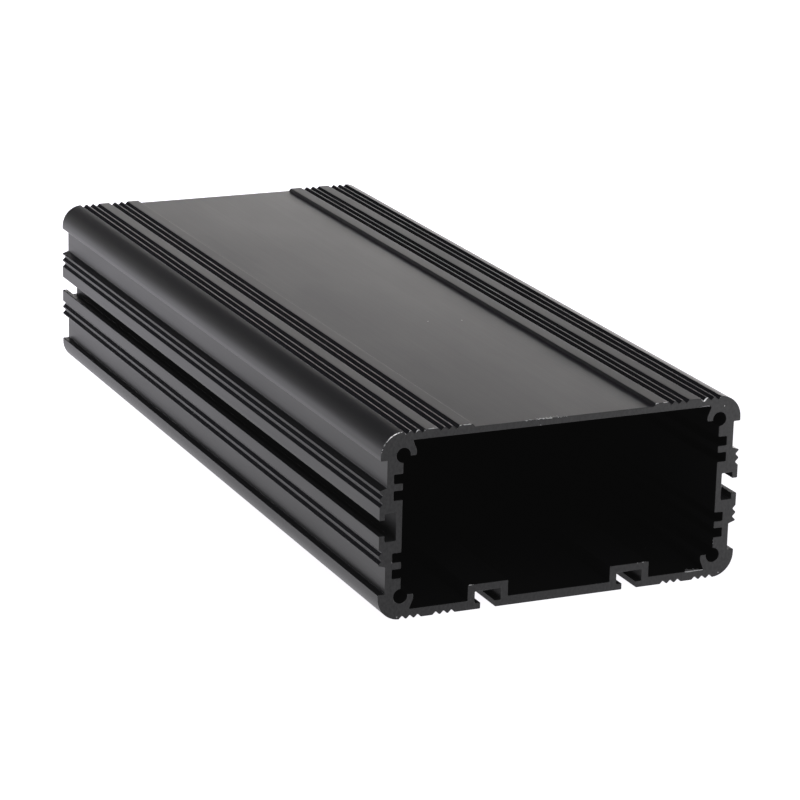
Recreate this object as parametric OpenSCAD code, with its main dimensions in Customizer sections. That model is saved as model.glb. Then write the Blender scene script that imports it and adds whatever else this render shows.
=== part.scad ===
// Body of an extruded aluminium instrument case: a rectangular tube, sawn off square at both ends.
// The section carries four screw ports for end plates, slots for circuit boards, slots for hex nuts
// in the sides and the underside, ridged bands along the corners and a shallow label panel on top.
// X is across the width, Y along the length and Z up from the underside, in millimetres.

/* [Case] */
// Overall width
case_w = 82; // [78:0.5:120]
// Overall height
case_h = 40; // [38:0.5:70]
// Length that the extrusion is cut to
case_len = 200; // [50:1:500]
// Radius of the four long outer corners
corner_r = 5; // [4.6:0.1:5.6]
// Thickness of the top and bottom walls
wall_t = 2; // [1.5:0.1:2.6]
// Depth of each side wall, from its outer face to its inner face
side_t = 5; // [4.6:0.1:5.8]
// Radius that the die leaves on the small edges
edge_r = 0.2; // [0.05:0.05:0.3]

/* [Screw ports] */
// Bore of each port, for a self-tapping screw
port_d = 3.1; // [2.6:0.1:3.4]
// Thickness of the hook that closes the port on the inner side
hook_t = 1.35; // [1:0.05:1.6]
// Distance from the port's centre to the hook's face at its root
hook_root = 2; // [1.8:0.1:2.6]
// Height above the port's centre at which the hook's face turns upright
hook_knee = 0.8; // [0.4:0.1:1.4]
// Distance that the hook's tip passes the port's centre
hook_drop = 0.25; // [0.05:0.05:0.6]
// Radius on the hook's tip
hook_r = 0.35; // [0.1:0.05:0.6]

/* [Board slots] */
// Width of each slot, a running fit on a 1.6 mm board
slot_w = 2; // [1.7:0.1:2.3]
// Depth of each slot in the side wall
slot_depth = 2; // [1:0.1:2.4]
// Spacing of the two slots in a pair
slot_pitch = 3.5; // [3:0.1:3.9]
// Height of the nearer slot of each pair, from the middle of the side
slot_z = 6.6; // [5.8:0.1:7]

/* [Nut slots] */
// Mouth of each slot, for the shank of an M3 screw
nut_mouth = 3.3; // [3.1:0.1:3.8]
// Width of the slot behind the lips, across the flats of the nut
nut_w = 5.9; // [5.6:0.1:6.4]
// Depth of the slot behind the lips
nut_depth = 2.5; // [2.2:0.1:2.9]
// Thickness of the lips of the side slots
side_lip_t = 1.2; // [0.9:0.1:1.5]
// Thickness of the lips of the underside slots
foot_lip_t = 1.35; // [1:0.05:1.8]
// Thickness of the wall that boxes in each underside slot
foot_wall_t = 1.6; // [1.2:0.1:2.2]
// Distance between the two underside slots
foot_pitch = 32.6; // [20:0.1:38]

/* [Side bands] */
// Height of the ridged band in the middle of each side
band_h = 16.8; // [16:0.2:19]
// Depth of the long recesses above and below the band
recess_depth = 1.5; // [0.8:0.1:2]
// Height of each corner lobe, down to its recess
lobe_h = 5.8; // [5.4:0.1:7]
// Drop of each sloping end of the band, from the recess to the outer face
band_drop = 0.5; // [0.1:0.05:0.8]
// Width of the last crest, between the outermost groove and the end of the band
end_crest_w = 0.25; // [0.1:0.05:0.5]
// Grooves on each half of the band
side_groove_count = 2; // [1:1:2]

/* [Ridges] */
// Width of each groove at the surface
groove_w = 1.45; // [0.9:0.05:1.5]
// Radius in the root of each groove
groove_r = 0.25; // [0.1:0.05:0.4]
// Spacing of neighbouring grooves
groove_pitch = 1.75; // [1.6:0.05:2]
// Grooves in each group on the top and the underside
groove_count = 3; // [1:1:3]
// Distance from the side of the case to the first groove
groove_inset = 5.5; // [5.2:0.1:6.5]
// Distance between the first grooves of the outer and the inner group
group_pitch = 7.55; // [6.5:0.05:8.5]
// Radius on the crests between grooves
crest_r = 0.2; // [0.05:0.05:0.3]

/* [Label panel] */
// Distance from the side of the case to the panel's edge
panel_inset = 20.15; // [19:0.05:26]
// Depth of the panel below the ridged bands
panel_depth = 0.6; // [0.3:0.1:1]
// Width of the sloping edge of the panel
panel_slope = 0.45; // [0.2:0.05:1]

/* [Hidden] */
$fn = 96;
arc_step = 22.5;
anodised_black = [0.07, 0.07, 0.075];
half_w = case_w / 2;
half_h = case_h / 2;
inner_x = half_w - side_t;
inner_z = half_h - wall_t;
port_x = half_w - corner_r;
port_z = half_h - corner_r;
overshoot = 1;

function unit(v) = v / norm(v);
function flip_x(path) = [for (p = path) [-p.x, p.y, p.z]];
function flip_z(path) = [for (p = path) [p.x, -p.y, p.z]];
function reverse(path) = [for (i = [len(path) - 1:-1:0]) path[i]];
function flat(lists) = [for (list = lists) each list];

// Points of the arc that rounds corner v between its neighbours a and b, no larger than the edges allow.
function corner_arc(a, v, b, r) =
    let (to_a = unit(a - v))
    let (to_b = unit(b - v))
    let (half = acos(to_a * to_b) / 2)
    let (reach = min(r / tan(half), norm(a - v) / 2, norm(b - v) / 2))
    let (arc_r = reach * tan(half))
    let (centre = v + unit(to_a + to_b) * arc_r / sin(half))
    let (first = v + to_a * reach - centre)
    let (start = atan2(first.y, first.x))
    let (turn = sign(cross(v - a, b - v)) * (180 - 2 * half))
    let (steps = ceil(abs(turn) / arc_step))
    [for (i = [0:steps]) centre + arc_r * [cos(start + turn * i / steps), sin(start + turn * i / steps)]];

// Closed outline from corners [x, z, radius].
function rounded(path) =
    let (last = len(path) - 1)
    [for (i = [0:last])
        let (v = path[i])
        let (a = path[i == 0 ? last : i - 1])
        let (b = path[i == last ? 0 : i + 1])
        each v.z > 0 ? corner_arc([a.x, a.y], [v.x, v.y], [b.x, b.y], v.z) : [[v.x, v.y]]];

// Corners of a groove with 45 degree flanks, in a face at height 0, from left to right.
function groove(at) = [
    [at - groove_w / 2, 0, crest_r],
    [at, -groove_w / 2, groove_r],
    [at + groove_w / 2, 0, crest_r]
];

// Grooves of the two groups on one half of the top or the underside, from the middle outwards.
function ridged_face() = flat([
    for (group = [1:-1:0])
        for (i = [groove_count - 1:-1:0])
            groove(half_w - groove_inset - group * group_pitch - i * groove_pitch)
]);

// Nut slot in a face at height 0, from left to right.
function nut_slot(at, lip_t) = [
    [at - nut_mouth / 2, 0, edge_r],
    [at - nut_mouth / 2, -lip_t, edge_r / 2],
    [at - nut_w / 2, -lip_t, edge_r],
    [at - nut_w / 2, -lip_t - nut_depth, edge_r],
    [at + nut_w / 2, -lip_t - nut_depth, edge_r],
    [at + nut_w / 2, -lip_t, edge_r],
    [at + nut_mouth / 2, -lip_t, edge_r / 2],
    [at + nut_mouth / 2, 0, edge_r]
];

// Top half of a side, from the corner lobe down to the nut slot, as height along the side and depth.
function side_half() =
    let (lobe_end = half_h - lobe_h)
    let (band_end = band_h / 2)
    let (last_groove = band_end - band_drop - end_crest_w - groove_w / 2)
    concat(
        flat([for (i = [side_groove_count - 1:-1:0]) groove(last_groove - i * groove_pitch)]),
        [
            [band_end - band_drop, 0, crest_r],
            [band_end, -recess_depth, edge_r],
            [lobe_end, -recess_depth, edge_r],
            [lobe_end, 0, edge_r]
        ]
    );

// Whole side, from the bottom corner to the top one.
function side_face() = concat(reverse(flip_x(side_half())), nut_slot(0, side_lip_t), side_half());

// Sloping edge of the label panel, from the panel up to the ridged band.
function label_edge() = [
    [half_w - panel_inset - panel_slope, -panel_depth, edge_r],
    [half_w - panel_inset, 0, edge_r]
];

// Right half of the outer outline, from the underside's middle round to the top's.
function outer_half() = concat(
    [for (p = nut_slot(foot_pitch / 2, foot_lip_t)) [p.x, -half_h - p.y, p.z]],
    [for (p = ridged_face()) [p.x, -half_h - p.y, p.z]],
    [[half_w, -half_h, 0]],
    [for (p = side_face()) [half_w + p.y, p.x, p.z]],
    [[half_w, half_h, 0]],
    [for (p = reverse(ridged_face())) [p.x, half_h + p.y, p.z]],
    [for (p = reverse(label_edge())) [p.x, half_h + p.y, p.z]]
);

// One board slot in the side wall, from its lower edge up.
function board_slot(at) = [
    [inner_x, at - slot_w / 2, edge_r],
    [inner_x + slot_depth, at - slot_w / 2, edge_r],
    [inner_x + slot_depth, at + slot_w / 2, edge_r],
    [inner_x, at + slot_w / 2, edge_r]
];

// Right wall of the cavity above the middle: two board slots, the mouth of the port and its hook.
function cavity_quarter() =
    let (tip_x = port_x - port_d / 2 - hook_t)
    let (tip_z = port_z - hook_drop)
    concat(
        board_slot(slot_z),
        board_slot(slot_z + slot_pitch),
        [
            [inner_x, tip_z, 0],
            [tip_x, tip_z, hook_r],
            [tip_x, port_z + hook_knee, hook_t],
            [port_x - hook_root, inner_z, edge_r]
        ]
    );

// Box over one underside nut slot, from the middle of the case outwards.
function foot_box() =
    let (half = nut_w / 2 + foot_wall_t)
    let (roof_z = -half_h + foot_lip_t + nut_depth + foot_wall_t)
    [
        [foot_pitch / 2 - half, -inner_z, edge_r],
        [foot_pitch / 2 - half, roof_z, edge_r],
        [foot_pitch / 2 + half, roof_z, edge_r],
        [foot_pitch / 2 + half, -inner_z, edge_r]
    ];

function cavity_half() = concat(foot_box(), reverse(flip_z(cavity_quarter())), cavity_quarter());

// Outline from its right half and the mirror image of that half.
module mirrored_outline(half) {
    polygon(rounded(concat(half, reverse(flip_x(half)))));
}

module at_ports() {
    for (x = [-port_x, port_x])
        for (z = [-port_z, port_z])
            translate([x, z])
                children();
}

// What the round outer corners leave off a square one.
module corner_offcut() {
    difference() {
        square(corner_r + overshoot);
        circle(r = corner_r);
    }
}

module at_corners() {
    for (side = [0, 1])
        for (end = [0, 1])
            mirror([side, 0])
                mirror([0, end])
                    translate([port_x, port_z])
                        children();
}

module section() {
    difference() {
        mirrored_outline(outer_half());
        at_corners()
            corner_offcut();
        mirrored_outline(cavity_half());
        at_ports()
            circle(d = port_d);
    }
}

module case_body() {
    color(anodised_black)
        translate([0, case_len / 2, half_h])
            rotate([90, 0, 0])
                linear_extrude(case_len)
                    section();
}

case_body();
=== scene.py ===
import math
from typing import NamedTuple

import bmesh
import bpy
from mathutils import Matrix, Vector, noise
from mathutils.geometry import tessellate_polygon


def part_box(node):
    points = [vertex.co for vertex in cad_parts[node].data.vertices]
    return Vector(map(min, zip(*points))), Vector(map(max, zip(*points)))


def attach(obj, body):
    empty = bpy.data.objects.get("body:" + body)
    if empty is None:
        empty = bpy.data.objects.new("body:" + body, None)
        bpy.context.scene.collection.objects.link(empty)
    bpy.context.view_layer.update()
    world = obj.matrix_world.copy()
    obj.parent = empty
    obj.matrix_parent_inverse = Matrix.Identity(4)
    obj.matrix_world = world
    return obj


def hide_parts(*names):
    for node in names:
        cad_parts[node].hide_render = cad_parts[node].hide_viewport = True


bl_info = {
    "name": "Instrument Case Looks",
    "version": (1, 0, 0),
    "blender": (4, 5, 0),
    "location": "View3D > Sidebar > Instrument Case",
    "description": "Dresses a case body as a sawn length of black anodised extrusion on a white table",
    "category": "Object",
}

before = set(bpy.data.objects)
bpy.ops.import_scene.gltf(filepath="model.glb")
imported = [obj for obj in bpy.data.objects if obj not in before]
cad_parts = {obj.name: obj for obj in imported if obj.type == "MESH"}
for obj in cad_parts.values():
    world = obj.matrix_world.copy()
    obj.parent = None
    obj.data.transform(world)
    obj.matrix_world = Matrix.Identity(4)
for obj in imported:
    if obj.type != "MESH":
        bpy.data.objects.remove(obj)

MM = 0.001
CASE_NODE = "case_body"
CASE_BODY = "root"
CASE_LOW, CASE_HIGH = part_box(CASE_NODE)
PIECE = "case_extrusion"

# Points of the frame's mesh that lie closer than this are one point.
WELD = 1e-6
# Longest step between two points of an outline.
OUTLINE_STEP = 0.4 * MM
# How far from a sawn end the outer skin can be rubbed bare.
WEAR_REACH = 0.45 * MM
# Wear all round the sawn ends, besides the scuffs: the share that shows as small flecks.
RIM_WEAR = 0.12
# A chip's bites: their spacing, the chip's depth between them and how much they deepen it, as shares.
CHIP_PITCH = 0.7 * MM
CHIP_LEAST = 0.6
CHIP_BITE = 0.8
# Edges that turn by more than this stay sharp.
SHARP_TURN = math.radians(35)
# Weight of large faces over small ones in the shading, where 50 treats them alike.
FLAT_FACE_WEIGHT = 100
# Side of the square that the unrolled surface fills on the UV map, and the gap between its parts.
MAP_SIDE = 0.41
MAP_GAP = 4 * MM
MAP_NAME = "OFBake"
WEAR_NAME = "wear"
GROOVE_NAME = "groove"
# Side of the square round each long corner that holds its arc.
CORNER = 4.6 * MM
# Lean from which a face counts as the flank of a groove, and the further lean at which it does so fully.
FLANK_LEAN = 0.2
FLANK_RISE = 0.4
# Depth below the outer faces that only the nut slots reach.
SLOT_DEPTH = 1.6 * MM
# Steps near the underside that lean less than this, as width over height, are the mouths of its slots.
MOUTH_LEAN = 0.2


class Scuff(NamedTuple):
    """A worn place on the rim of the near end, in millimetres.

    It lies x across the section and z up from the underside, and reaches round the rim from there. A share
    of it is bare, and it is chipped to a depth and spread along the skin.
    """

    x: float
    z: float
    reach: float
    bare: float
    chip: float = 0.0
    spread: float = 0.0


class Grain(NamedTuple):
    """A noise in the finish, with features about pitch millimetres apart.

    The squeeze scales the place along each axis, and makes the features longer where it is below 1. Uneven
    is what the noise adds to the roughness, and relief is its share in the relief.
    """

    pitch: float
    detail: float
    squeeze: tuple = None
    uneven: float = 0.0
    relief: float = 1.0


OUTER_SCUFFS = (
    # Round of the left top corner
    Scuff(-39.2, 38.9, 5.0, 0.6, 0.04),
    # Crests of the left bands
    Scuff(-34.7, 40.0, 0.6, 0.5),
    Scuff(-33.1, 40.0, 0.6, 0.95),
    Scuff(-30.0, 40.0, 1.9, 0.72),
    Scuff(-22.4, 40.0, 2.2, 0.65),
    # Near edge of the label panel
    Scuff(-4.5, 39.4, 6.0, 0.46, spread=2.6),
    Scuff(9.0, 39.4, 7.0, 0.24, spread=1.2),
    # Inner right band, and a dent in the first groove beside it
    Scuff(21.0, 40.0, 0.5, 0.8),
    Scuff(22.9, 40.0, 0.6, 0.75),
    Scuff(32.3, 39.6, 1.0, 1.0, 0.16),
    # Round of the right top corner
    Scuff(38.6, 38.9, 3.4, 0.45),
)
INNER_SCUFFS = (
    # Under the top wall, beside the right screw port
    Scuff(32.3, 38.0, 1.3, 1.0, 0.32),
    # On the bottom wall, beside the right screw port
    Scuff(30.7, 2.0, 1.2, 0.95, 0.1, spread=2.2),
    Scuff(32.3, 2.0, 1.6, 0.75, 0.05, spread=2.6),
    # Wall above the lower right screw port
    Scuff(36.0, 7.8, 1.6, 0.35),
    # Boxes over the underside slots
    Scuff(19.5, 5.45, 2.0, 0.5),
    Scuff(-20.3, 5.45, 1.0, 0.6),
)
# Light grains in the near sawn face, across and up, in millimetres, their radius and how bare they are.
FACE_GRAINS = ((37.0, 37.8), (37.6, 19.9), (-38.0, 12.5), (-36.7, 0.6), (37.6, 0.9), (-5.7, 38.1))
GRAIN_RADIUS = 0.13
GRAIN_BARE = 0.3
# Long edge under the round of the left top corner, across and up, along which a faint share of bare metal
# paints a highlight from end to end, and the distances from it at which the painted highlight starts to fade
# and has faded out, in millimetres.
PAINTED_HIGHLIGHT_EDGE = (-41.0, 34.5)
PAINTED_HIGHLIGHT_REACH = (0.2, 0.9)
# Label panel, in millimetres: half its width, the reach of its sloping edges from its middle, and its depth.
PANEL_HALF = 20.6
PANEL_REACH = 21.2
PANEL_DEPTH = 0.6
# Skin that is no deeper than this below the top belongs to the top, in millimetres.
TOP_DEPTH = 1.0
# Share of the panel's bow at which its own roughness starts to hold in full.
PANEL_MARGIN = 0.05
# Dust on the label panel, across and along, and its radius, in millimetres.
PANEL_DUST = ((2.9, -25.5), (10.5, -27.2))
DUST_RADIUS = 0.16
# Flecks of bare metal, how far they break up the wear, and the wear where metal starts to show and is bare.
FLECKS = Grain(0.55, 3.0)
FLECK_SPREAD = 1.5
BARE_WEAR = (0.45, 0.62)
# Extruded skin
DIE_LINES = Grain(0.25, 4.0, squeeze=(1.0, 0.004, 1.0), uneven=0.06)
SKIN_CLOUD = Grain(9.0, 3.0, squeeze=(1.0, 0.35, 1.0), uneven=0.07)
ETCH = Grain(0.12, 2.0, relief=0.5)
# Sawn ends, with the part of the mottle's range over which the lighter grain comes in
SAW_STROKES = Grain(0.22, 3.0, squeeze=(0.05, 1.0, 1.0), uneven=0.12, relief=0.5)
SAWN_CLOUD = Grain(5.0, 2.0, uneven=0.1)
SAWN_GRAIN = Grain(0.28, 2.0)
SAWN_MOTTLE = Grain(0.5, 2.0, squeeze=(1.0, 1.0, 0.6))
MOTTLE_RANGE = (0.3, 0.7)
# Broken edges
RIM_GRAIN = Grain(0.2, 2.0, uneven=0.2)
# How far a direction points behind the case, from 0 to 1, where the room starts to give way to the ceiling
# and where it ends.
ROOM_EDGE = (0.35, 0.75)
# Width of the camera's sensor, in millimetres, and the nearest and farthest distance that it sees.
SENSOR_WIDTH = 36.0
CLIP_RANGE = (0.01, 100.0)


class CaseLooks(bpy.types.PropertyGroup):
    """Finish of the case body."""

    edge_break: bpy.props.FloatProperty(
        name="Edge break",
        description="Width of the bevel that is left on the sawn edges",
        default=0.07 * MM,
        unit="LENGTH",
    )
    # Strength of the painted highlight along the long edge under the left top corner, given as a share of
    # bare metal.
    edge_painted_highlight: bpy.props.FloatProperty(
        name="Edge rub",
        description="How bare the long edge under the left top corner is",
        default=0.055,
        subtype="FACTOR",
    )
    dye: bpy.props.FloatVectorProperty(
        name="Anodised colour",
        description="Colour of the dyed oxide",
        default=(0.004, 0.004, 0.0046),
        subtype="COLOR",
    )
    # The slot colour is three times the outer dye: the oxide's colour lifted as painted fill light in the
    # slots' shade.
    slot_dye_and_painted_fill: bpy.props.FloatVectorProperty(
        name="Slot colour",
        description="Colour of the oxide in the nut slots, where the dye took less",
        default=(0.012, 0.012, 0.0125),
        subtype="COLOR",
    )
    sawn_grain: bpy.props.FloatVectorProperty(
        name="Sawn grain colour",
        description="Colour of the lighter grain in the oxide of the sawn ends",
        default=(0.013, 0.013, 0.0135),
        subtype="COLOR",
    )
    metal: bpy.props.FloatVectorProperty(
        name="Bare colour",
        description="Colour of the aluminium where the oxide is rubbed off",
        default=(0.74, 0.74, 0.75),
        subtype="COLOR",
    )
    dust: bpy.props.FloatVectorProperty(
        name="Dust colour",
        description="Colour of the dust on the label panel",
        default=(0.5, 0.49, 0.47),
        subtype="COLOR",
    )
    skin_roughness: bpy.props.FloatProperty(
        name="Skin roughness",
        description="Roughness of the extruded outer skin",
        default=0.42,
        subtype="FACTOR",
    )
    panel_roughness: bpy.props.FloatProperty(
        name="Panel roughness",
        description="Roughness of the label panel",
        default=0.38,
        subtype="FACTOR",
    )
    panel_bow: bpy.props.FloatProperty(
        name="Panel bow",
        description="Height of the faint bow across the label panel, which shows only in its shading",
        default=0.3 * MM,
        unit="LENGTH",
    )
    groove_roughness: bpy.props.FloatProperty(
        name="Groove roughness",
        description="Roughness of the flanks of the grooves, which nothing rubs against",
        default=0.17,
        subtype="FACTOR",
    )
    # The inner colour is half the outer dye: the oxide's colour darkened as painted shade inside the tube.
    inner_dye_and_painted_shade: bpy.props.FloatVectorProperty(
        name="Inner colour",
        description="Colour of the oxide inside the tube",
        default=(0.002, 0.002, 0.0022),
        subtype="COLOR",
    )
    inner_roughness: bpy.props.FloatProperty(
        name="Inner roughness",
        description="Roughness of the skin inside the tube",
        default=0.9,
        subtype="FACTOR",
    )
    inner_shine: bpy.props.FloatProperty(
        name="Inner shine",
        description="Specular level of the skin inside the tube, where 0.5 is that of the outer skin",
        default=0.0,
        subtype="FACTOR",
    )
    slot_shine: bpy.props.FloatProperty(
        name="Slot shine",
        description="Specular level of the skin in the nut slots, where 0.5 is that of the outer skin",
        default=0.1,
        subtype="FACTOR",
    )
    sawn_shine: bpy.props.FloatProperty(
        name="Sawn shine",
        description="Specular level of the sawn end faces, where 0.5 is that of the outer skin",
        default=0.265,
        subtype="FACTOR",
    )
    sawn_roughness: bpy.props.FloatProperty(
        name="Sawn roughness",
        description="Roughness of the sawn end faces",
        default=0.5,
        subtype="FACTOR",
    )
    bare_roughness: bpy.props.FloatProperty(
        name="Bare roughness",
        description="Roughness of the bare aluminium",
        default=0.38,
        subtype="FACTOR",
    )
    die_line_depth: bpy.props.FloatProperty(
        name="Die line depth",
        description="Depth of the fine lines that the die leaves along the skin",
        default=0.0006 * MM,
        unit="LENGTH",
    )
    saw_mark_depth: bpy.props.FloatProperty(
        name="Saw mark depth",
        description="Depth of the marks that the saw leaves on the ends",
        default=0.012 * MM,
        unit="LENGTH",
    )
    rim_mark_depth: bpy.props.FloatProperty(
        name="Rim mark depth",
        description="Depth of the grain on the broken edges",
        default=0.004 * MM,
        unit="LENGTH",
    )


class StudioLooks(bpy.types.PropertyGroup):
    """Camera, table and light."""

    azimuth: bpy.props.FloatProperty(
        name="Azimuth",
        description="Turn of the camera about the case",
        default=math.radians(-24.338),
        subtype="ANGLE",
    )
    elevation: bpy.props.FloatProperty(
        name="Elevation",
        description="Height of the camera above the horizon",
        default=math.radians(17.022),
        subtype="ANGLE",
    )
    roll: bpy.props.FloatProperty(
        name="Roll",
        description="Turn of the camera about its own line of sight",
        default=math.radians(1.4165),
        subtype="ANGLE",
    )
    target: bpy.props.FloatVectorProperty(
        name="Target",
        description="Point that the camera looks at",
        default=(5.666 * MM, -5.344 * MM, 14.88 * MM),
        subtype="TRANSLATION",
        unit="LENGTH",
    )
    distance: bpy.props.FloatProperty(
        name="Distance",
        description="Distance from the camera to its target",
        default=770 * MM,
        unit="LENGTH",
    )
    lens: bpy.props.FloatProperty(
        name="Focal length",
        description="Focal length of the camera, in millimetres on a 36 mm sensor",
        default=149.89,
        unit="CAMERA",
    )
    table_size: bpy.props.FloatProperty(
        name="Table size",
        description="Side of the table that the case stands on",
        default=24.0,
        unit="LENGTH",
    )
    table_colour: bpy.props.FloatVectorProperty(
        name="Table colour",
        description="Colour of the table",
        default=(0.2, 0.2, 0.2),
        subtype="COLOR",
    )
    near_glow: bpy.props.FloatVectorProperty(
        name="Near glow",
        description="Light that comes up through the near part of the table",
        default=(0.985, 0.972, 1.01),
        subtype="COLOR",
    )
    far_glow: bpy.props.FloatVectorProperty(
        name="Far glow",
        description="Light that comes up through the far part of the table",
        default=(1.37, 1.345, 1.43),
        subtype="COLOR",
    )
    near_glow_end: bpy.props.FloatProperty(
        name="Near glow end",
        description="Place along the table where the light starts to grow",
        default=-0.045,
        unit="LENGTH",
    )
    far_glow_start: bpy.props.FloatProperty(
        name="Far glow start",
        description="Place along the table where the light has grown to its full strength",
        default=0.18,
        unit="LENGTH",
    )
    wall_glow: bpy.props.FloatVectorProperty(
        name="Wall glow",
        description="Light of the bright wall that stands low behind the table",
        default=(4.51, 4.39, 4.32),
        subtype="COLOR",
    )
    room_glow: bpy.props.FloatVectorProperty(
        name="Room glow",
        description="Light of the room in front of the table and beside it",
        default=(0.25, 0.25, 0.255),
        subtype="COLOR",
    )
    ceiling_glow: bpy.props.FloatVectorProperty(
        name="Ceiling glow",
        description="Light of the ceiling behind the table, above the bright wall",
        default=(0.052, 0.0515, 0.063),
        subtype="COLOR",
    )
    wall_azimuth: bpy.props.FloatProperty(
        name="Wall azimuth",
        description="Direction where the bright wall is highest, from behind the case towards its right",
        default=math.radians(20.5),
        subtype="ANGLE",
    )
    wall_height: bpy.props.FloatProperty(
        name="Wall height",
        description="Elevation that the bright wall reaches where it is highest",
        default=math.radians(10.6),
        subtype="ANGLE",
    )
    wall_breadth: bpy.props.FloatProperty(
        name="Wall breadth",
        description="Angle from the middle of the bright wall to either end of it",
        default=math.radians(36.5),
        subtype="ANGLE",
    )
    wall_fade: bpy.props.FloatProperty(
        name="Wall fade",
        description="Angle over which the edge of the bright wall fades out",
        default=math.radians(2),
        subtype="ANGLE",
    )
    softbox_power: bpy.props.FloatProperty(
        name="Softbox power",
        description="Power of the light in front of the case",
        default=7.5,
        unit="POWER",
    )
    softbox_size: bpy.props.FloatVectorProperty(
        name="Softbox size",
        description="Width and height of the light in front of the case",
        size=2,
        default=(1.1, 1.1),
        unit="LENGTH",
    )
    softbox_place: bpy.props.FloatVectorProperty(
        name="Softbox place",
        description="Place of the light in front of the case",
        default=(-0.25, -0.7, 1.4),
        subtype="TRANSLATION",
        unit="LENGTH",
    )
    softbox_aim: bpy.props.FloatVectorProperty(
        name="Softbox aim",
        description="Point that the light in front of the case faces",
        default=(0.0, 0.0, 0.0),
        subtype="TRANSLATION",
        unit="LENGTH",
    )
    fill_power: bpy.props.FloatProperty(
        name="Fill power",
        description="Power of the low strip light to the right of the near end",
        default=1.02,
        unit="POWER",
    )
    fill_size: bpy.props.FloatVectorProperty(
        name="Fill size",
        description="Width and height of the strip light, which stays lower than the top of the case",
        size=2,
        default=(0.271, 0.034),
        unit="LENGTH",
    )
    fill_place: bpy.props.FloatVectorProperty(
        name="Fill place",
        description="Place of the strip light",
        default=(0.2562, -0.2868, 0.0195),
        subtype="TRANSLATION",
        unit="LENGTH",
    )
    fill_aim: bpy.props.FloatVectorProperty(
        name="Fill aim",
        description="Point that the strip light faces",
        default=(-0.0425, -0.3143, 0.0195),
        subtype="TRANSLATION",
        unit="LENGTH",
    )
    glare: bpy.props.FloatProperty(
        name="Glare",
        description="Share of white that the lens spreads over the whole picture",
        default=0.0026,
        subtype="FACTOR",
    )


class Value:
    """A shader value. Arithmetic on it adds Math nodes to its tree."""

    def __init__(self, shader, socket):
        self.shader = shader
        self.socket = socket

    def math(self, operation, *values):
        return self.shader.node("ShaderNodeMath", {"operation": operation}, dict(enumerate(values)))

    def __add__(self, other):
        return self.math("ADD", self, other)

    def __radd__(self, other):
        return self.math("ADD", other, self)

    def __sub__(self, other):
        return self.math("SUBTRACT", self, other)

    def __rsub__(self, other):
        return self.math("SUBTRACT", other, self)

    def __mul__(self, other):
        return self.math("MULTIPLY", self, other)

    def __rmul__(self, other):
        return self.math("MULTIPLY", other, self)

    def larger(self, other):
        return self.math("MAXIMUM", self, other)

    def below(self, limit):
        return self.math("LESS_THAN", self, limit)

    def rise(self, low, high, start=0.0, end=1.0):
        """Smooth step from start to end as the value goes from low to high."""
        sockets = {"Value": self, "From Min": low, "From Max": high, "To Min": start, "To Max": end}
        return self.shader.node("ShaderNodeMapRange", {"interpolation_type": "SMOOTHSTEP"}, sockets)


class Shader:
    """Node tree of a material or the world, written as expressions."""

    def __init__(self, owner):
        owner.use_nodes = True
        self.tree = owner.node_tree
        self.tree.nodes.clear()

    def node(self, kind, settings=None, sockets=None, output=0):
        """Adds a node, sets it up, feeds its sockets and returns one of its outputs."""
        made = self.tree.nodes.new(kind)
        for name, value in (settings or {}).items():
            setattr(made, name, value)
        for name, value in (sockets or {}).items():
            if isinstance(value, Value):
                self.tree.links.new(value.socket, made.inputs[name])
            else:
                made.inputs[name].default_value = value
        return Value(self, made.outputs[output]) if len(made.outputs) else None

    def place(self):
        """Place on the case, in millimetres."""
        metres = self.node("ShaderNodeTexCoord", output="Object")
        return self.node("ShaderNodeVectorMath", {"operation": "SCALE"}, {0: metres, "Scale": 1 / MM})

    def part(self, place, axis):
        return self.node("ShaderNodeSeparateXYZ", None, {0: place}, output=axis)

    def squeezed(self, place, factors):
        return self.node("ShaderNodeVectorMath", {"operation": "MULTIPLY"}, {0: place, 1: factors})

    def noise(self, place, grain):
        """Noise of one grain, from 0 to 1 around 0.5."""
        if grain.squeeze:
            place = self.squeezed(place, grain.squeeze)
        sockets = {"Vector": place, "Scale": 1 / grain.pitch, "Detail": grain.detail}
        return self.node("ShaderNodeTexNoise", None, sockets)

    def mix(self, factor, first, second):
        sockets = {0: factor, 6: first, 7: second}
        return self.node("ShaderNodeMix", {"data_type": "RGBA"}, sockets, output=2)

    def away(self, place, centre):
        sockets = {0: place, 1: centre}
        return self.node("ShaderNodeVectorMath", {"operation": "DISTANCE"}, sockets, output="Value")

    def spots(self, place, centres, radius):
        """1 within radius of any of the centres, and 0 elsewhere."""
        nearest = None
        for centre in centres:
            spot = self.away(place, centre).below(radius)
            nearest = spot if nearest is None else nearest.larger(spot)
        return nearest


def opaque(colour):
    """The colour with full alpha, as the sockets take it."""
    return (*colour, 1.0)


def rubbed_bare(shader, place):
    """Where the rim has lost its oxide: worn places, broken up into flecks."""
    wear = shader.node("ShaderNodeAttribute", {"attribute_name": WEAR_NAME}, output="Fac")
    flecks = shader.noise(place, FLECKS)
    return (wear + (flecks - 0.5) * FLECK_SPREAD).rise(*BARE_WEAR)


def anodised(shader, looks, dye, roughness, bare, height, depth, dusty=None, shine=0.5):
    """Surface of dyed oxide that shows bare metal where the mask is 1, with a fine relief. On the outer skin
    the mask also carries a painted highlight along one edge.
    """
    colour = shader.mix(bare, dye, opaque(looks.metal))
    if dusty is not None:
        colour = shader.mix(dusty, colour, opaque(looks.dust))
    relief = shader.node("ShaderNodeBump", None, {"Strength": 1.0, "Distance": depth, "Height": height})
    surface = shader.node(
        "ShaderNodeBsdfPrincipled",
        None,
        {
            "Base Color": colour,
            "Metallic": bare,
            "Roughness": roughness + bare * (looks.bare_roughness - roughness),
            "IOR": 1.5,
            "Specular IOR Level": shine,
            "Normal": relief,
        },
    )
    shader.node("ShaderNodeOutputMaterial", None, {"Surface": surface})


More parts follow.
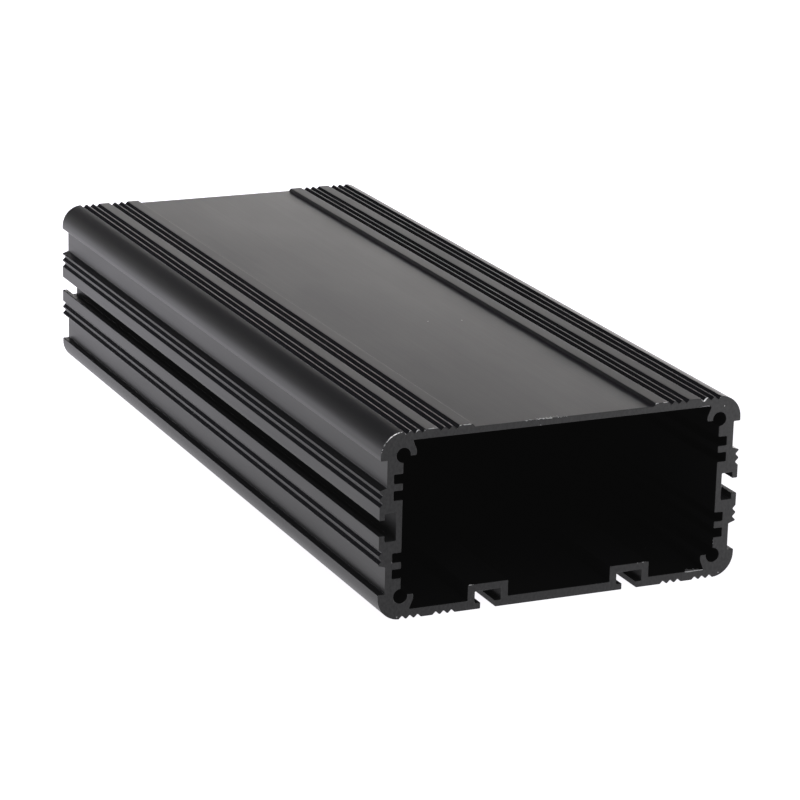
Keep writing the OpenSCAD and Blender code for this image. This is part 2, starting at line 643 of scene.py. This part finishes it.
def extruded(shader, place):
    """Unevenness of an extruded skin's roughness, and its relief of die lines and etched grain."""
    die_lines = shader.noise(place, DIE_LINES)
    cloud = shader.noise(place, SKIN_CLOUD)
    etch = shader.noise(place, ETCH)
    uneven = (die_lines - 0.5) * DIE_LINES.uneven + (cloud - 0.5) * SKIN_CLOUD.uneven
    return uneven, die_lines + etch * ETCH.relief


def panel_bow(shader, place):
    """Height of a bow over the label panel: 1 along its middle, 0 at its edges and elsewhere."""
    across = shader.part(place, "X")
    on_top = 1 - shader.part(place, "Z").below(CASE_HIGH.z / MM - TOP_DEPTH)
    return (1 - across * across * PANEL_HALF ** -2).larger(0.0) * on_top


def outer_skin(looks):
    """Satin outer skin, smoother in the grooves, with a painted highlight along one long edge and a little
    dust on the panel.
    """
    material = bpy.data.materials.new("outer_skin")
    shader = Shader(material)
    place = shader.place()
    uneven, lines = extruded(shader, place)
    groove = shader.node("ShaderNodeAttribute", {"attribute_name": GROOVE_NAME}, output="Fac")
    bow = panel_bow(shader, place)
    roughness = (
        looks.skin_roughness
        + groove * (looks.groove_roughness - looks.skin_roughness)
        + uneven
        + bow.rise(0.0, PANEL_MARGIN) * (looks.panel_roughness - looks.skin_roughness)
    )
    relief = lines + bow * (looks.panel_bow / looks.die_line_depth)
    panel_top = CASE_HIGH.z / MM - PANEL_DEPTH
    specks = shader.spots(place, [(x, y, panel_top) for x, y in PANEL_DUST], DUST_RADIUS)
    # Painted highlight: a faint share of bare metal along the long edge under the left top corner lightens
    # its colour and adds metal shine from end to end.
    x, z = PAINTED_HIGHLIGHT_EDGE
    off_edge = shader.away(shader.squeezed(place, (1.0, 0.0, 1.0)), (x, 0.0, z))
    painted_edge_highlight = off_edge.rise(*PAINTED_HIGHLIGHT_REACH, start=looks.edge_painted_highlight, end=0.0)
    # Bare metal from the rubbed wear, joined with the painted edge highlight.
    bare = rubbed_bare(shader, place).larger(painted_edge_highlight)
    dye, depth = opaque(looks.dye), looks.die_line_depth
    anodised(shader, looks, dye, roughness, bare, relief, depth, dusty=specks)
    return material


def shaded_skin(name, looks, dye, roughness, shine):
    """Shaded copy of the skin, for the nut slots and the inside of the tube, which are seen only in shade:
    its lower shine paints shade in both, its darker colour paints shade inside the tube, and its lighter
    colour paints fill light in the slots.
    """
    material = bpy.data.materials.new(name)
    shader = Shader(material)
    place = shader.place()
    uneven, lines = extruded(shader, place)
    bare = rubbed_bare(shader, place)
    depth = looks.die_line_depth
    anodised(shader, looks, opaque(dye), roughness + uneven, bare, lines, depth, shine=shine)
    return material


def sawn_finish(looks):
    """Sawn end: fine strokes across the face, anodised over, with a few light grains."""
    material = bpy.data.materials.new("sawn_end")
    shader = Shader(material)
    place = shader.place()
    strokes = shader.noise(place, SAW_STROKES)
    grain = shader.noise(place, SAWN_GRAIN)
    mottle = shader.noise(place, SAWN_MOTTLE)
    cloud = shader.noise(place, SAWN_CLOUD)
    near = CASE_LOW.y / MM
    light_grains = shader.spots(place, [(x, near, z) for x, z in FACE_GRAINS], GRAIN_RADIUS)
    bare = light_grains * GRAIN_BARE
    dye = shader.mix(mottle.rise(*MOTTLE_RANGE), opaque(looks.dye), opaque(looks.sawn_grain))
    uneven = (strokes - 0.5) * SAW_STROKES.uneven
    roughness = looks.sawn_roughness + uneven + (cloud - 0.5) * SAWN_CLOUD.uneven
    relief = strokes * SAW_STROKES.relief + grain
    depth = looks.saw_mark_depth
    anodised(shader, looks, dye, roughness, bare, relief, depth, shine=looks.sawn_shine)
    return material


def rim_finish(looks):
    """Broken edge between a sawn end and the skin, bare where it is worn."""
    material = bpy.data.materials.new("sawn_rim")
    shader = Shader(material)
    place = shader.place()
    grain = shader.noise(place, RIM_GRAIN)
    roughness = looks.skin_roughness + (grain - 0.5) * RIM_GRAIN.uneven
    bare = rubbed_bare(shader, place)
    anodised(shader, looks, opaque(looks.dye), roughness, bare, grain, looks.rim_mark_depth)
    return material


def steps_of(outline):
    """Each point and the one after it, all the way round."""
    return list(zip(outline, outline[1:] + outline[:1]))


def corners_of(outline):
    """Each point between the one before it and the one after it, all the way round."""
    return zip(outline[-1:] + outline[:-1], outline, outline[1:] + outline[:1])


def sawn_outlines(mesh, end):
    """Closed outlines (x, z) of the sawn face at y = end, metal on the left, the longest first."""
    edges = {}
    for face in mesh.polygons:
        points = [mesh.vertices[i].co for i in face.vertices]
        if any(abs(p.y - end) > WELD for p in points):
            continue
        keys = [(round(p.x / WELD), round(p.z / WELD)) for p in points]
        for start, stop in steps_of(keys):
            if edges.get(stop) and start in edges[stop]:
                edges[stop].remove(start)
            else:
                edges.setdefault(start, set()).add(stop)
    follows = {start: stops.pop() for start, stops in edges.items() if stops}
    outlines = []
    while follows:
        here = next(iter(follows))
        outline = []
        while here in follows:
            outline.append(Vector(here) * WELD)
            here = follows.pop(here)
        outlines.append(outline)
    return sorted(outlines, key=len, reverse=True)


def finely_stepped(outline, step):
    """The same outline with more points on its long edges."""
    points = []
    for start, stop in steps_of(outline):
        count = max(1, math.ceil((stop - start).length / step))
        points += [start.lerp(stop, i / count) for i in range(count)]
    return points


def left_of(start, stop):
    """Direction to the left of the way from start to stop."""
    along = (stop - start).normalized()
    return Vector((-along.y, along.x))


def mitres(outline):
    """For each point, the move that sets both its edges back by one unit into the metal."""
    moves = []
    for last, here, following in corners_of(outline):
        arriving, leaving = left_of(last, here), left_of(here, following)
        moves.append((arriving + leaving) / (1 + arriving.dot(leaving)))
    return moves


def in_groove(outline):
    """For each point, 1 on the flank of a groove and 0 elsewhere, as on the panel's sloping edges."""
    reach = Vector((CASE_HIGH.x - CASE_LOW.x, CASE_HIGH.z - CASE_LOW.z)) / 2 - Vector((CORNER, CORNER))
    middle = Vector((CASE_HIGH.x + CASE_LOW.x, CASE_HIGH.z + CASE_LOW.z)) / 2
    values = []
    for last, here, following in corners_of(outline):
        facing = (left_of(last, here) + left_of(here, following)).normalized()
        away = here - middle
        cornered = abs(away.x) > reach.x and abs(away.y) > reach.y
        on_panel = abs(away.x) < PANEL_REACH * MM and away.y > reach.y
        lean = min(abs(facing.x), abs(facing.y))
        flank = min(1.0, max(0.0, lean - FLANK_LEAN) / FLANK_RISE)
        values.append(0.0 if cornered or on_panel else flank)
    return values


def in_slot(start, stop):
    """Whether a step of the outer outline lies inside a nut slot, or in the mouth of one underneath."""
    middle, step = (start + stop) / 2, stop - start
    across = min(middle.x - CASE_LOW.x, CASE_HIGH.x - middle.x)
    upright = min(middle.y - CASE_LOW.z, CASE_HIGH.z - middle.y)
    steep = abs(step.x) < MOUTH_LEAN * abs(step.y)
    mouth = steep and middle.y - CASE_LOW.z < SLOT_DEPTH
    return mouth or min(across, upright) > SLOT_DEPTH


def worn(point, scuffs):
    """How bare the rim is at a point of the outline, how deep it is chipped and how far it is worn."""
    bare = chip = 0.0
    reach = WEAR_REACH
    for scuff in scuffs:
        away = (point - Vector((scuff.x, scuff.z)) * MM).length / (scuff.reach * MM)
        fade = max(0.0, 1 - away * away)
        bare = max(bare, scuff.bare * fade ** 0.5)
        chip = max(chip, scuff.chip * MM * fade)
        reach = max(reach, scuff.spread * MM * fade)
    return bare, chip, reach


class CaseSkin:
    """Mesh of the case: each outline carried from end to end, with broken rims and flat sawn ends."""

    OUTER, SLOT, INNER, SAWN, RIM = range(5)

    def __init__(self):
        self.mesh = bmesh.new()
        self.wear = self.mesh.verts.layers.float.new(WEAR_NAME)
        self.groove = self.mesh.verts.layers.float.new(GROOVE_NAME)
        self.uv = self.mesh.loops.layers.uv.new(MAP_NAME)
        self.near_rims = []
        self.far_rims = []

    def ring(self, points, ys, wears, grooves):
        """Adds a ring of points (x, z), each at its own place along the case."""
        ring = []
        for point, y, wear, groove in zip(points, ys, wears, grooves):
            vert = self.mesh.verts.new((point.x, y, point.y))
            vert[self.wear] = wear
            vert[self.groove] = groove
            ring.append(vert)
        return ring

    def face(self, verts, places, finish):
        """Adds a face of one finish, with its corners' places on the map in metres."""
        face = self.mesh.faces.new(verts)
        face.material_index = finish
        face.smooth = True
        for corner, place in zip(face.loops, places):
            corner[self.uv].uv = Vector(place) / MAP_SIDE

    def tube(self, outline, near_scuffs, edge_break, skins, map_low):
        """Adds the surface along one outline, with its rims, unrolled on the map from map_low up.

        The skins give the finish of each step of the outline.
        """
        count = len(outline)
        moves = mitres(outline)
        grooves = in_groove(outline)
        near_wear, near_back, near_reach = [], [], []
        for point in outline:
            bare, chip, reach = worn(point, near_scuffs)
            bite = abs(noise.noise(Vector((point.x, point.y, 0.0)) / CHIP_PITCH))
            ragged = CHIP_LEAST + CHIP_BITE * bite
            near_wear.append(max(bare, RIM_WEAR))
            near_back.append(edge_break + chip * ragged)
            near_reach.append(reach)
        far_wear, idle = [RIM_WEAR] * count, [0.0] * count
        low, high = CASE_LOW.y, CASE_HIGH.y
        set_near = [p + m * b for p, m, b in zip(outline, moves, near_back)]
        set_far = [p + m * edge_break for p, m in zip(outline, moves)]
        rings = [
            self.ring(set_near, [low] * count, near_wear, grooves),
            self.ring(outline, [low + b for b in near_back], near_wear, grooves),
            self.ring(outline, [low + r for r in near_reach], idle, grooves),
            self.ring(outline, [high - WEAR_REACH] * count, idle, grooves),
            self.ring(outline, [high - edge_break] * count, far_wear, grooves),
            self.ring(set_far, [high] * count, far_wear, grooves),
        ]
        rim = [self.RIM] * count
        bands = [rim, skins, skins, skins, rim]
        reached = [0.0]
        for start, stop in steps_of(outline):
            reached.append(reached[-1] + (stop - start).length)
        for lower, upper, finishes in zip(rings, rings[1:], bands):
            for i in range(count):
                j = (i + 1) % count
                verts = (lower[i], lower[j], upper[j], upper[i])
                across = (reached[i], reached[i + 1], reached[i + 1], reached[i])
                places = [(u, map_low + v.co.y - low) for u, v in zip(across, verts)]
                self.face(verts, places, finishes[i])
        self.near_rims.append(rings[0])
        self.far_rims.append(rings[-1])

    def cap(self, rims, map_corner, flip):
        """Closes the metal between the rims of one end with a flat sawn face."""
        verts = [vert for rim in rims for vert in rim]
        flats = [[Vector((vert.co.x, vert.co.z, 0.0)) for vert in rim] for rim in rims]
        u, v = map_corner
        for triangle in tessellate_polygon(flats):
            corners = [verts[i] for i in triangle]
            first, second, third = (Vector((c.co.x, c.co.z)) for c in corners)
            anticlockwise = (second - first).cross(third - first) > 0
            if anticlockwise == flip:
                corners.reverse()
            places = [(u + c.co.x - CASE_LOW.x, v + c.co.z - CASE_LOW.z) for c in corners]
            self.face(corners, places, self.SAWN)

    def finish(self, name):
        """The mesh, with its sharp edges marked."""
        mesh = bpy.data.meshes.new(name)
        self.mesh.to_mesh(mesh)
        self.mesh.free()
        mesh.set_sharp_from_angle(angle=SHARP_TURN)
        return mesh


class CASE_OT_extrusion(bpy.types.Operator):
    """Build the case body with broken rims, and give it its anodised finish"""

    bl_idname = "case.extrusion"
    bl_label = "Case extrusion"

    def execute(self, context):
        looks = context.scene.case_looks
        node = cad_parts[CASE_NODE]
        outlines = sawn_outlines(node.data, CASE_LOW.y)
        if len(outlines) != 2:
            raise RuntimeError(f"the sawn end has {len(outlines)} outlines, not one outer and one inner")
        outer, inner = (finely_stepped(outline, OUTLINE_STEP) for outline in outlines)
        skin = CaseSkin()
        length = CASE_HIGH.y - CASE_LOW.y
        steps = steps_of(outer)
        around = sum((stop - start).length for start, stop in steps)
        outer_skins = [skin.SLOT if in_slot(start, stop) else skin.OUTER for start, stop in steps]
        inner_skins = [skin.INNER] * len(inner)
        skin.tube(outer, OUTER_SCUFFS, looks.edge_break, outer_skins, 0.0)
        skin.tube(inner, INNER_SCUFFS, looks.edge_break, inner_skins, length + MAP_GAP)
        height = CASE_HIGH.z - CASE_LOW.z
        skin.cap(skin.near_rims, (around + MAP_GAP, 0.0), flip=False)
        skin.cap(skin.far_rims, (around + MAP_GAP, height + MAP_GAP), flip=True)
        mesh = skin.finish(PIECE)
        # Shaded copies of the skin: the slot colour is lifted as painted fill light, and the inner colour is
        # darkened as painted shade.
        slot = looks.slot_dye_and_painted_fill, looks.skin_roughness, looks.slot_shine
        inside = looks.inner_dye_and_painted_shade, looks.inner_roughness, looks.inner_shine
        # The finishes stand in the order of CaseSkin's numbers.
        for finish in (
            outer_skin(looks),
            shaded_skin("slot_skin", looks, *slot),
            shaded_skin("inner_skin", looks, *inside),
            sawn_finish(looks),
            rim_finish(looks),
        ):
            mesh.materials.append(finish)
        piece = bpy.data.objects.new(PIECE, mesh)
        context.scene.collection.objects.link(piece)
        weighted = piece.modifiers.new("flat faces", "WEIGHTED_NORMAL")
        weighted.keep_sharp = True
        weighted.weight = FLAT_FACE_WEIGHT
        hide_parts(CASE_NODE)
        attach(piece, CASE_BODY)
        return {"FINISHED"}


def make_table(context, studio):
    """White table that glows, more so behind the case."""
    half = studio.table_size / 2
    mesh = bpy.data.meshes.new("table")
    corners = [(-half, -half, 0.0), (half, -half, 0.0), (half, half, 0.0), (-half, half, 0.0)]
    mesh.from_pydata(corners, [], [(0, 1, 2, 3)])
    material = bpy.data.materials.new("white_table")
    shader = Shader(material)
    place = shader.node("ShaderNodeTexCoord", output="Object")
    farther = shader.part(place, "Y").rise(studio.near_glow_end, studio.far_glow_start)
    surface = shader.node(
        "ShaderNodeBsdfPrincipled",
        None,
        {
            "Base Color": opaque(studio.table_colour),
            "Roughness": 1.0,
            "Specular IOR Level": 0.0,
            "Emission Color": shader.mix(farther, opaque(studio.near_glow), opaque(studio.far_glow)),
            "Emission Strength": 1.0,
        },
    )
    shader.node("ShaderNodeOutputMaterial", None, {"Surface": surface})
    mesh.materials.append(material)
    table = bpy.data.objects.new("table", mesh)
    context.scene.collection.objects.link(table)


def make_surroundings(context, studio):
    """Dim room, darker behind the table, where a bright wall stands low, arched like a rising disc."""
    world = bpy.data.worlds.new("studio")
    shader = Shader(world)
    direction = shader.node("ShaderNodeTexCoord", output="Generated")
    # The arch is where a disc round a point under the table rises above it.
    high, wide = studio.wall_height, math.cos(studio.wall_breadth)
    depth = math.atan2(math.cos(high) - wide, math.sin(high))
    middle = (
        math.cos(depth) * math.sin(studio.wall_azimuth),
        math.cos(depth) * math.cos(studio.wall_azimuth),
        -math.sin(depth),
    )
    nearness = shader.node(
        "ShaderNodeVectorMath", {"operation": "DOT_PRODUCT"}, {0: direction, 1: middle}, output="Value"
    )
    radius = depth + high
    start, end = math.cos(radius + studio.wall_fade / 2), math.cos(radius - studio.wall_fade / 2)
    behind = shader.part(direction, "Y").rise(*ROOM_EDGE)
    room = shader.mix(behind, opaque(studio.room_glow), opaque(studio.ceiling_glow))
    glow = shader.mix(nearness.rise(start, end), room, opaque(studio.wall_glow))
    light = shader.node("ShaderNodeBackground", None, {"Color": glow, "Strength": 1.0})
    shader.node("ShaderNodeOutputWorld", None, {"Surface": light})
    context.scene.world = world


def make_lamp(context, studio, name):
    """Flat lamp with the power, size, place and aim that the studio gives under its name."""
    data = bpy.data.lights.new(name, "AREA")
    data.shape = "RECTANGLE"
    data.size, data.size_y = getattr(studio, f"{name}_size")
    data.energy = getattr(studio, f"{name}_power")
    lamp = bpy.data.objects.new(name, data)
    place = Vector(getattr(studio, f"{name}_place"))
    aim = Vector(getattr(studio, f"{name}_aim"))
    turn = (aim - place).to_track_quat("-Z", "Y").to_matrix().to_4x4()
    lamp.matrix_world = Matrix.Translation(place) @ turn
    context.scene.collection.objects.link(lamp)


def make_camera(context, studio):
    """Camera that looks at its target from the studio's azimuth and elevation."""
    data = bpy.data.cameras.new("camera")
    data.sensor_width = SENSOR_WIDTH
    data.lens = studio.lens
    data.clip_start, data.clip_end = CLIP_RANGE
    level = math.cos(studio.elevation)
    back = Vector((
        math.sin(studio.azimuth) * level,
        -math.cos(studio.azimuth) * level,
        math.sin(studio.elevation),
    ))
    turn = (-back).to_track_quat("-Z", "Y").to_matrix().to_4x4()
    place = Matrix.Translation(Vector(studio.target) + back * studio.distance)
    camera = bpy.data.objects.new("camera", data)
    camera.matrix_world = place @ turn @ Matrix.Rotation(studio.roll, 4, "Z")
    context.scene.collection.objects.link(camera)
    context.scene.camera = camera


class CASE_OT_stage(bpy.types.Operator):
    """Set up the table, the light and the camera"""

    bl_idname = "case.stage"
    bl_label = "Stage"

    def execute(self, context):
        studio = context.scene.case_studio
        make_table(context, studio)
        make_surroundings(context, studio)
        for name in ("softbox", "fill"):
            make_lamp(context, studio, name)
        make_camera(context, studio)
        view = context.scene.view_settings
        view.view_transform = "Standard"
        view.use_curve_mapping = True
        view.curve_mapping.black_level = [-studio.glare] * 3
        view.curve_mapping.update()
        return {"FINISHED"}


class CASE_PT_looks(bpy.types.Panel):
    """Buttons and settings for the case's looks"""

    bl_idname = "CASE_PT_looks"
    bl_label = "Instrument Case"
    bl_space_type = "VIEW_3D"
    bl_region_type = "UI"
    bl_category = "Instrument Case"

    def draw(self, context):
        for settings, operator in (
            (context.scene.case_looks, CASE_OT_extrusion),
            (context.scene.case_studio, CASE_OT_stage),
        ):
            box = self.layout.box()
            box.operator(operator.bl_idname)
            for name in settings.__annotations__:
                box.prop(settings, name)


CLASSES = (CaseLooks, StudioLooks, CASE_OT_extrusion, CASE_OT_stage, CASE_PT_looks)


def register():
    for item in CLASSES:
        bpy.utils.register_class(item)
    bpy.types.Scene.case_looks = bpy.props.PointerProperty(type=CaseLooks)
    bpy.types.Scene.case_studio = bpy.props.PointerProperty(type=StudioLooks)


def unregister():
    del bpy.types.Scene.case_studio
    del bpy.types.Scene.case_looks
    for item in reversed(CLASSES):
        bpy.utils.unregister_class(item)


def main():
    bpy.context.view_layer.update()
    register()
    bpy.ops.case.stage()
    bpy.ops.case.extrusion()


if __name__ == "__main__":
    main()
